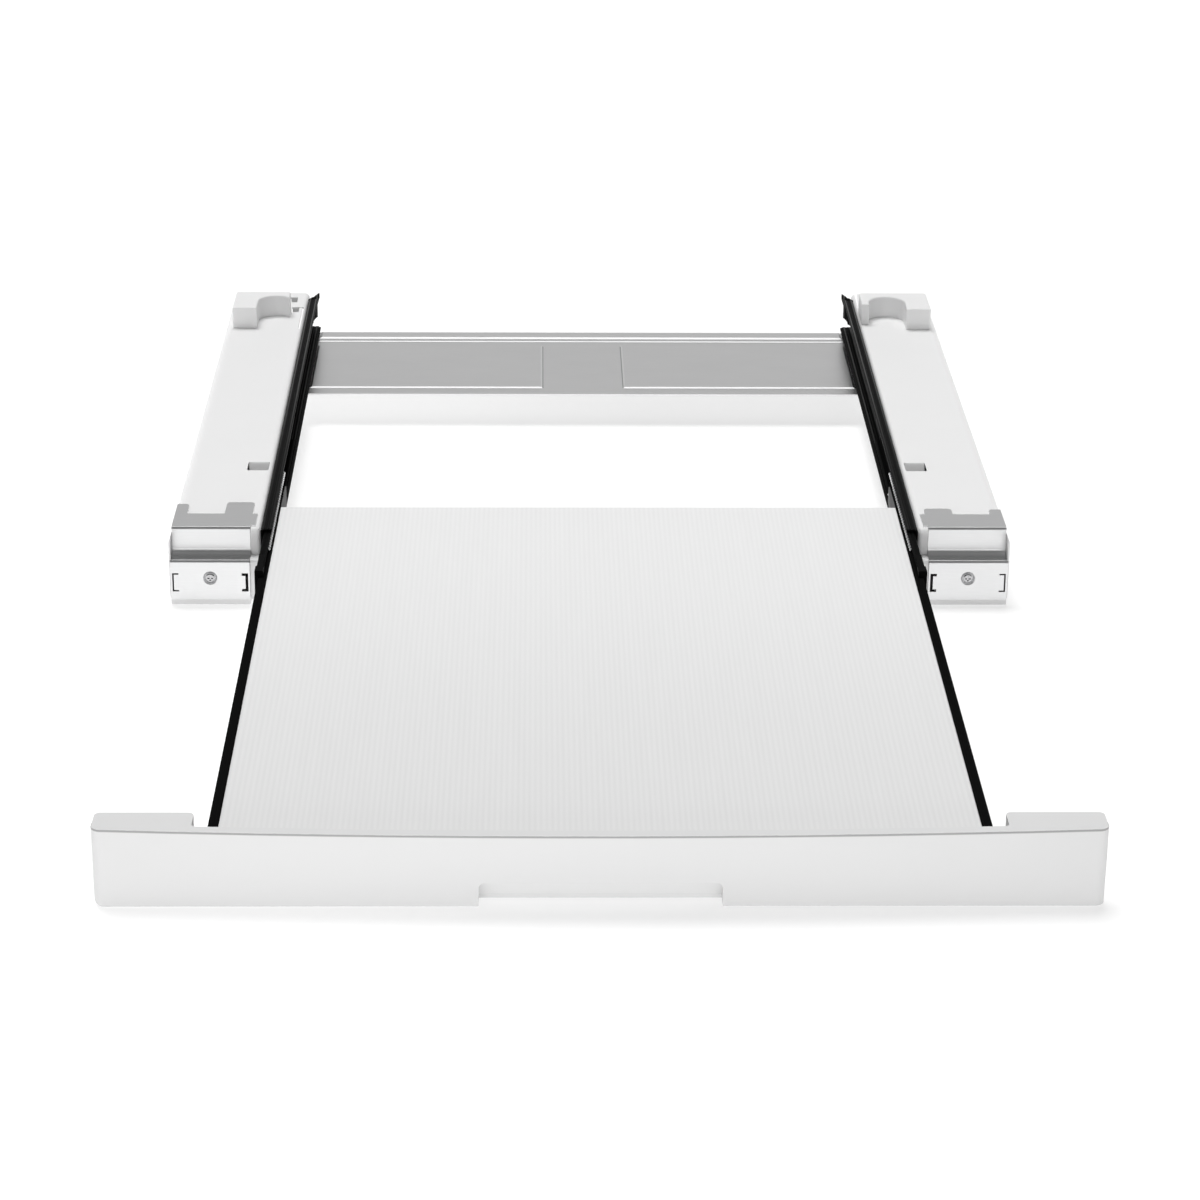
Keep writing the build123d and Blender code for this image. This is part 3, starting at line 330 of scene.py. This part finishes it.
class KitPaint(bpy.types.PropertyGroup):
    rail: colour_property("Rail paint", "Colour of the powder paint on the rails", grey(238))
    seat: colour_property("Rear seats", "Colour of the moulded rear seats", grey(236))
    panel: colour_property("Front panel", "Colour of the moulded front panel", grey(218))
    board: colour_property("Shelf board", "Colour of the shelf board's facing", grey(229))
    zinc: colour_property("Zinc sheet", "Colour of the galvanised sheet", (0.85, 0.853, 0.856))
    slide: colour_property("Slides", "Colour of the slides' black coat", (0.006, 0.006, 0.006))


class KitStudio(bpy.types.PropertyGroup):
    roof: light_property("Roof", "Strength of the dim roof of the room", 0.2)
    rear: light_property("Rear wall", "Strength of the grey wall behind the kit", 0.52)
    front: light_property("Front wall", "Strength of the dark wall before the kit", 0.15)
    softbox: light_property("Softbox", "How bright the softbox above is in reflections", 1.8)
    overhead: light_property("Overhead lamp", "Strength of the lamp in the softbox", 2.25)
    front_lamp: light_property(
        "Front lamp", "Power of the lamp before the panel", 2.6, unit="POWER"
    )
    floor: light_property("Floor", "How pale the floor is", 0.45, max=1.0)
    floor_glow: light_property("Floor glow", "How much light comes up through the floor", 0.6)


class KIT_OT_rails(bpy.types.Operator):
    """Paint the two side rails and finish the strips under them"""

    bl_idname = "kit.rails"
    bl_label = "Rails and strips"

    def execute(self, context):
        paint = context.scene.kit_paint
        finish = Finish("Rail paint", tuple(paint.rail), 0.42, specular_ior_level=0.4)
        peel = finish.noise(700.0, detail=3.0, roughness=0.55)
        finish.shade(tuple(paint.rail), varied(finish.noise(18.0), 0.05), varied(peel, 0.03))
        finish.feed(roughness=0.4 + varied(finish.noise(60.0), 0.1))
        finish.bump(peel, 50 * MICRON)
        dress(finish, *both("rail"))
        strip = grey(STRIP_LEVEL)
        soft = Finish("Strip rubber", strip, 0.7)
        soft.shade(strip, varied(soft.noise(120.0), 0.06))
        soft.bump(soft.noise(1500.0), 50 * MICRON)
        dress(soft, *both("base_strip"))
        return {"FINISHED"}


class KIT_OT_sheet(bpy.types.Operator):
    """Galvanise the crossbar, the front brackets and the shelf's angles"""

    bl_idname = "kit.sheet"
    bl_label = "Zinc sheet"

    def execute(self, context):
        zinc = tuple(context.scene.kit_paint.zinc)
        duller = tuple(part * BRACKET_TONE for part in zinc)
        self.zinc_sheet("Bracket sheet", duller, *both("front_bracket"), *both("panel_angle"))
        self.zinc_sheet("Crossbar sheet", zinc, "crossbar", with_crease_shade=True)
        steel = Finish("Screw steel", SCREW_STEEL, 0.2, metallic=1.0)
        turned = steel.noise(900.0)
        steel.shade(SCREW_STEEL, varied(turned, 0.6))
        steel.feed(roughness=0.1 + turned * 0.1)
        dress(
            steel,
            "bracket_screws",
            "block_screws",
            "crossbar_screws",
            "shelf_screws",
            "panel_screws",
            "board_screws",
        )
        return {"FINISHED"}

    def zinc_sheet(self, name, colour, *nodes, with_crease_shade=False):
        """Galvanised sheet, streaked by the rolls, with painted shade along creases where asked.
        """
        finish = Finish(name, colour, 0.3, metallic=1.0)
        rolled = finish.noise(60.0, roughness=0.6, stretch=(1.0, 16.0, 16.0))
        cloud = finish.noise(16.0, stretch=(1.0, 2.0, 2.0))
        shares = [varied(rolled, 0.2), varied(cloud, 0.2)]
        # Painted shade darkens the creases at the pads' inner ends.
        if with_crease_shade:
            shares.append(self.crease_shade_mask(finish) * CREASE_PAINTED_SHADE)
        finish.shade(colour, *shares)
        finish.feed(roughness=0.31 + varied(rolled, 0.08) + varied(cloud, 0.05))
        finish.bump(rolled, 4 * MICRON)
        dress(finish, *nodes)

    def crease_shade_mask(self, finish):
        """Mask of the painted shade: 1 along the inner ends of the crossbar's two pads, 0
        elsewhere.
        """
        low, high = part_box("crossbar")
        front, rear = low[1] + CREASE_FRONT, high[1] - CREASE_REAR
        across, along, _ = finish.split(finish.place())
        line = (across.size() - CREASE_PLACE).size().step(CREASE_HALF, CREASE_HALF / 2)
        behind_front = along.step(front, front + CREASE_HALF)
        behind_rear = along.step(rear - CREASE_HALF, rear)
        return line * (behind_front - behind_rear)


class KIT_OT_seats(bpy.types.Operator):
    """Finish the moulded seats at the rails' rear ends"""

    bl_idname = "kit.seats"
    bl_label = "Rear seats"

    def execute(self, context):
        seat = tuple(context.scene.kit_paint.seat)
        finish = Finish("Rear block plastic", seat, 0.5)
        finish.shade(seat, varied(finish.noise(40.0), 0.04))
        finish.feed(roughness=0.5 + varied(finish.noise(200.0), 0.12))
        finish.bump(finish.grain(1400.0), 40 * MICRON)
        dress(finish, *both("rear_block"))
        return {"FINISHED"}


class KIT_OT_slides(bpy.types.Operator):
    """Finish the ball slides: black channels, cages, balls, rivets, bumpers and stops"""

    bl_idname = "kit.slides"
    bl_label = "Ball slides"

    def execute(self, context):
        slide = tuple(context.scene.kit_paint.slide)
        self.channel("Outer channel", slide, OUTER_SHINE, *both("slide_outer"), "slide_rivets")
        self.channel("Middle channel", slide, MIDDLE_SHINE, *both("slide_middle"))
        self.channel("Inner channel", slide, INNER_SHINE, *both("slide_inner"))
        self.moulded("Bumper plastic", BUMPER_BLACK, 0.4, *both("slide_bumper"))
        cages = both("outer_cage") + both("inner_cage")
        self.moulded("Cage plastic", CAGE_BLACK, 0.5, *cages)
        self.moulded("Stop plastic", grey(STOP_LEVEL), 0.5, *both("slide_end_stop"))
        balls = Finish("Ball steel", BALL_STEEL, 0.35, metallic=1.0)
        balls.shade(BALL_STEEL, varied(balls.noise(900.0), 0.3))
        balls.feed(roughness=0.32 + balls.noise(1500.0) * 0.08)
        dress(balls, *both("outer_balls"), *both("inner_balls"))
        return {"FINISHED"}

    def channel(self, name, colour, shine, *nodes):
        """Black coat on a drawn steel channel, streaked along its length, with painted ridge
        highlights.

        The ridges are a sine of the distance from the rail's inner wall.
        """
        gloss = COAT_GLOSS * shine
        finish = Finish(name, colour, 0.3, specular_ior_level=gloss, ior=SLIDE_IOR)
        drawn = finish.noise(220.0, detail=3.0, roughness=0.6, stretch=(5.0, 0.06, 5.0))
        across, along, _ = finish.split(finish.place())
        # Painted highlight: the coat is lightened towards a grey on the ridges, more towards the
        # rear.
        inboard = SLIDE_WALL - across.size()
        quarter = SLIDE_RIDGE_PITCH / 4
        ridge = ((inboard - SLIDE_CREST + quarter) * (2 * math.pi / SLIDE_RIDGE_PITCH)).sine()
        highlight_ramp = along.step(*SLIDE_HIGHLIGHT_RAMP) * (1 - LEAST_HIGHLIGHT) + LEAST_HIGHLIGHT
        painted_highlight = ridge.step(0.5, 1.0) * (drawn + 0.5) * highlight_ramp * shine
        finish.feed(base_color=finish.blend(painted_highlight, colour, PAINTED_HIGHLIGHT_COAT))
        finish.feed(roughness=0.28 + varied(drawn, 0.16))
        finish.bump(finish.noise(1800.0), 10 * MICRON)
        dress(finish, *nodes)

    def moulded(self, name, colour, roughness, *nodes):
        """A small moulded piece's plastic, with a fine grain."""
        gloss = MOULDED_GLOSS
        finish = Finish(name, colour, roughness, specular_ior_level=gloss, ior=SLIDE_IOR)
        finish.shade(colour, varied(finish.noise(300.0), 0.8))
        finish.feed(roughness=roughness + varied(finish.noise(500.0), 0.12))
        finish.bump(finish.grain(2200.0), 30 * MICRON)
        dress(finish, *nodes)


class KIT_OT_shelf(bpy.types.Operator):
    """Face the pull-out board and finish its front panel"""

    bl_idname = "kit.shelf"
    bl_label = "Shelf and panel"

    def execute(self, context):
        paint = context.scene.kit_paint
        self.face_board(tuple(paint.board))
        self.finish_panel(tuple(paint.panel))
        return {"FINISHED"}

    def face_board(self, colour):
        """Melamine facing: faint streaks, fine pressed lines, and painted light, lighter to the
        rear.
        """
        finish = Finish("Board facing", colour, 0.46, specular_ior_level=0.35)
        across, along, _ = finish.split(finish.place())
        lines = (across * (2 * math.pi / BOARD_LINE_PITCH)).sine()
        dashed = lines * (finish.noise(260.0, detail=1.0, stretch=(1.0, 0.4, 1.0)) + 0.5)
        streak = finish.noise(30.0, detail=4.0, roughness=0.65, stretch=(9.0, 0.35, 1.0))
        # Painted light: the facing grows lighter from the front to the rear.
        painted_light = varied(along.step(*BOARD_PAINTED_LIGHT_RAMP), BOARD_PAINTED_LIGHT_SHARE)
        finish.shade(colour, varied(streak, 0.12), dashed * BOARD_LINE_SHADE, painted_light)
        finish.feed(roughness=0.44 + varied(streak, 0.12))
        finish.bump(dashed * 0.3 + finish.noise(900.0, detail=3.0), 50 * MICRON)
        dress(finish, "shelf_board")

    def finish_panel(self, colour):
        """Moulded plastic with a fine satin grain, and painted shade along its rounded top edge.
        """
        finish = Finish("Panel plastic", colour, 0.34)
        _, _, up = finish.split(finish.place())
        # Painted shade: a darker band along the rounded top edge.
        edge = up.step(*PANEL_EDGE) - up.step(*PANEL_TOP)
        finish.shade(colour, varied(finish.noise(9.0), 0.03), edge * PANEL_EDGE_PAINTED_SHADE)
        finish.feed(roughness=0.33 + varied(finish.noise(240.0), 0.08))
        finish.bump(finish.grain(1800.0), 15 * MICRON)
        dress(finish, "front_panel")


class KIT_OT_studio(bpy.types.Operator):
    """Build the pale floor, the soft lights and the camera"""

    bl_idname = "kit.studio"
    bl_label = "Studio"

    def execute(self, context):
        studio = context.scene.kit_studio
        self.floor(studio)
        self.room(studio)
        self.overhead_lamp(studio)
        self.front_lamp(studio)
        self.camera(context.scene)
        return {"FINISHED"}

    def floor(self, studio):
        mesh = bpy.data.meshes.new("floor")
        signs = ((-1, -1), (1, -1), (1, 1), (-1, 1))
        mesh.from_pydata([(FLOOR_REACH * x, FLOOR_REACH * y, 0) for x, y in signs], [], [range(4)])
        floor = bpy.data.objects.new("floor", mesh)
        bpy.context.scene.collection.objects.link(floor)
        pale = (studio.floor,) * 3
        finish = Finish("Floor", pale, 1.0, specular_ior_level=0.0)
        across, _, _ = finish.split(finish.place())
        glow = finish.blend(across.step(*FLOOR_TURN), WHITE, (FLOOR_RIGHT,) * 3)
        finish.feed(emission_color=glow, emission_strength=studio.floor_glow / FLOOR_RIGHT)
        mesh.materials.append(finish.material)

    def room(self, studio):
        """Light by direction: a white backdrop low all round, grey walls, roof and softbox."""
        world = bpy.data.worlds.new("Room")
        bpy.context.scene.world = world
        world.use_nodes = True
        graph = Graph(world.node_tree)
        _, ahead, up = graph.split(graph.add("ShaderNodeTexCoord", output="Generated"))
        walls = graph.blend(ahead.step(*WALL_TURN), (studio.front,) * 3, (studio.rear,) * 3)
        low = graph.blend(up.step(*BACKDROP_EDGE), WHITE, walls)
        room = graph.blend(up.step(*ROOF_EDGE), low, (studio.roof,) * 3)
        overhead = ahead * math.sin(SOFTBOX_TILT) + up * math.cos(SOFTBOX_TILT)
        colour = graph.blend(overhead.step(*SOFTBOX_EDGE), room, (studio.softbox,) * 3)
        light = graph.add("ShaderNodeBackground", inputs={"Color": colour})
        output = graph.tree.nodes.new("ShaderNodeOutputWorld")
        graph.connect(output, 0, light)

    def overhead_lamp(self, studio):
        data = bpy.data.lights.new("Overhead lamp", "SUN")
        data.energy = studio.overhead
        data.angle = OVERHEAD_ANGLE
        lamp = bpy.data.objects.new("Overhead lamp", data)
        bpy.context.scene.collection.objects.link(lamp)
        lamp.visible_glossy = False
        aim = -Vector(OVERHEAD_FROM)
        lamp.rotation_euler = aim.to_track_quat("-Z", "Y").to_euler()

    def front_lamp(self, studio):
        """A low lamp at the front left, which reaches the panel more than the rear."""
        data = bpy.data.lights.new("Front lamp", "AREA")
        data.shape = "RECTANGLE"
        data.size, data.size_y = FRONT_LAMP_SIZE
        data.energy = studio.front_lamp
        data.spread = FRONT_LAMP_SPREAD
        lamp = bpy.data.objects.new("Front lamp", data)
        bpy.context.scene.collection.objects.link(lamp)
        lamp.location = FRONT_LAMP_PLACE
        aim = Vector(FRONT_LAMP_AIM) - Vector(FRONT_LAMP_PLACE)
        lamp.rotation_euler = aim.to_track_quat("-Z", "Y").to_euler()
        lamp.visible_glossy = False
        lamp.visible_camera = False

    def camera(self, scene):
        """The camera at the photograph's place, turned by its pitch, yaw and roll."""
        data = bpy.data.cameras.new("Camera")
        data.sensor_fit = "HORIZONTAL"
        data.sensor_width = CAMERA_SENSOR
        data.lens = CAMERA_FOCAL / PHOTO_WIDTH * CAMERA_SENSOR
        data.clip_end = CAMERA_FAR
        camera = bpy.data.objects.new("Camera", data)
        scene.collection.objects.link(camera)
        turn = (
            Matrix.Rotation(-CAMERA_YAW, 4, "Z")
            @ Matrix.Rotation(math.pi / 2 - CAMERA_PITCH, 4, "X")
            @ Matrix.Rotation(-CAMERA_ROLL, 4, "Z")
        )
        camera.matrix_world = Matrix.Translation(CAMERA_PLACE) @ turn
        scene.camera = camera


class KIT_PT_sidebar(bpy.types.Panel):
    bl_label = "Stacking kit"
    bl_space_type = "VIEW_3D"
    bl_region_type = "UI"
    bl_category = "Stacking kit"

    def draw(self, context):
        layout = self.layout
        for group in (context.scene.kit_paint, context.scene.kit_studio):
            for key in group.bl_rna.properties.keys():
                if key not in ("rna_type", "name"):
                    layout.prop(group, key)
        for operator in STEPS:
            layout.operator(operator.bl_idname)


GROUPS = (("kit_paint", KitPaint), ("kit_studio", KitStudio))
STEPS = (KIT_OT_rails, KIT_OT_sheet, KIT_OT_seats, KIT_OT_slides, KIT_OT_shelf, KIT_OT_studio)


def register():
    """Registers the property groups on the scene, the operators and the sidebar panel."""
    for key, group in GROUPS:
        bpy.utils.register_class(group)
        setattr(bpy.types.Scene, key, bpy.props.PointerProperty(type=group))
    for operator in STEPS:
        bpy.utils.register_class(operator)
    bpy.utils.register_class(KIT_PT_sidebar)


def unregister():
    """Undoes register, in the opposite order."""
    bpy.utils.unregister_class(KIT_PT_sidebar)
    for operator in reversed(STEPS):
        bpy.utils.unregister_class(operator)
    for key, group in reversed(GROUPS):
        delattr(bpy.types.Scene, key)
        bpy.utils.unregister_class(group)


def main():
    register()
    bpy.context.scene.view_settings.view_transform = "Standard"
    for operator in STEPS:
        group, name = operator.bl_idname.split(".")
        getattr(getattr(bpy.ops, group), name)()


if __name__ == "__main__":
    main()
